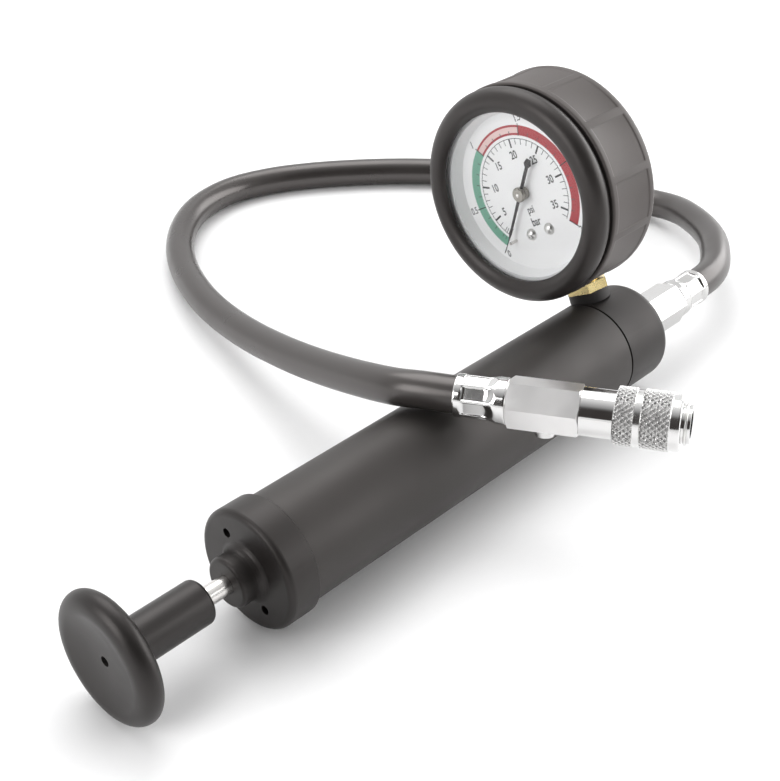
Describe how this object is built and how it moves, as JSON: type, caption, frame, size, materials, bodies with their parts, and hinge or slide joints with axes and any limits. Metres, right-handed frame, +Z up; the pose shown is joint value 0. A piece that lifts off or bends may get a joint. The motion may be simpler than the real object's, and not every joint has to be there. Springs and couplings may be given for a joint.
{
  "type": "pressure test pump",
  "caption": "Hand plunger pump with a round handle, a dial pressure gauge in a rubber boot on its head, and a short rubber hose that ends in a quick coupler with a knurled sleeve.",
  "frame": {"origin": "bottom centre of the box around the pump without its hose and coupler, on the surface it lies on", "axes": "+X along the barrel from the handle to the hose end, +Y towards the side the gauge leans to, +Z up"},
  "size_m": [0.3615, 0.2991, 0.1157],
  "materials": {
    "black_plastic": "satin",
    "black_rubber": "satin",
    "seal_rubber": "matte",
    "chrome_plate": "polished",
    "brass": "turned",
    "steel": "ground",
    "zinc": "plated",
    "dial_white": "satin",
    "dark_trim": "satin",
    "window": "clear"
  },
  "bodies": {
    "pump": {"tube": "black_plastic", "front_cap": "black_plastic", "rod_bush": "steel", "head": "black_plastic", "head_oring": "seal_rubber", "check_spring": "steel", "stem_seal": "seal_rubber", "gauge_stem": "brass", "gauge_case": "steel", "gauge_boot": "black_rubber", "bezel_ring": "dark_trim", "lens": "window", "dial_flange": "dial_white", "dial": "dial_white", "dial_screws": "zinc", "bourdon_tube": "brass", "tip_link": "steel", "movement_frame": "brass", "stop_pin": "steel", "hose_nipple": "chrome_plate", "rear_ferrule": "chrome_plate", "hose": "black_rubber", "front_ferrule": "chrome_plate", "coupler_tail": "chrome_plate", "vent_plug": "chrome_plate", "coupler_body": "chrome_plate", "coupler_seal": "seal_rubber", "lock_balls": "steel", "sleeve_spring": "steel", "snap_ring": "steel"},
    "piston": {"piston": "black_plastic", "cup_seal": "seal_rubber"},
    "plunger": {"handle": "black_plastic", "handle_screw": "steel", "rod": "steel", "rod_washer": "steel", "rod_nut": "steel"},
    "ball": {"check_ball": "steel"},
    "sector": {"sector_gear": "brass"},
    "pointer": {"pinion": "steel", "needle": "dark_trim", "needle_hub": "zinc"},
    "sleeve": {"sleeve": "chrome_plate"}
  },
  "joints": [
    {"name": "piston_slide", "type": "slide", "parent": "pump", "child": "piston", "axis": [1, 0, 0], "range_m": [-0.1187, 0.0087]},
    {"name": "plunger_turn", "type": "hinge", "parent": "piston", "child": "plunger", "pos_m": [0.074, -0.02211, 0.0205], "axis": [1, 0, 0], "continuous": true},
    {"name": "ball_lift", "type": "slide", "parent": "pump", "child": "ball", "axis": [1, 0, 0], "range_m": [0, 0.0015], "stiffness_N_per_m": 40, "springref_m": -0.002, "deforming": ["check_spring"]},
    {"name": "sector_turn", "type": "hinge", "parent": "pump", "child": "sector", "pos_m": [0.0648, -0.00404, 0.06443], "axis": [1, 0, 0], "range_deg": [-27, 0], "stiffness_Nm_per_rad": 0.003, "springref_deg": 8.59},
    {"name": "pointer_turn", "type": "hinge", "parent": "pump", "child": "pointer", "pos_m": [0.0648, 0.00451, 0.0776], "axis": [1, 0, 0], "range_deg": [0, 270]},
    {"name": "sleeve_slide", "type": "slide", "parent": "pump", "child": "sleeve", "axis": [-0.4378, 0.8976, -0.0523], "range_m": [0, 0.004], "stiffness_N_per_m": 600, "springref_m": -0.004, "deforming": ["sleeve_spring"]}
  ],
  "couplings": [
    {"joint": "pointer_turn", "follows": "sector_turn", "ratio": -10}
  ]
}
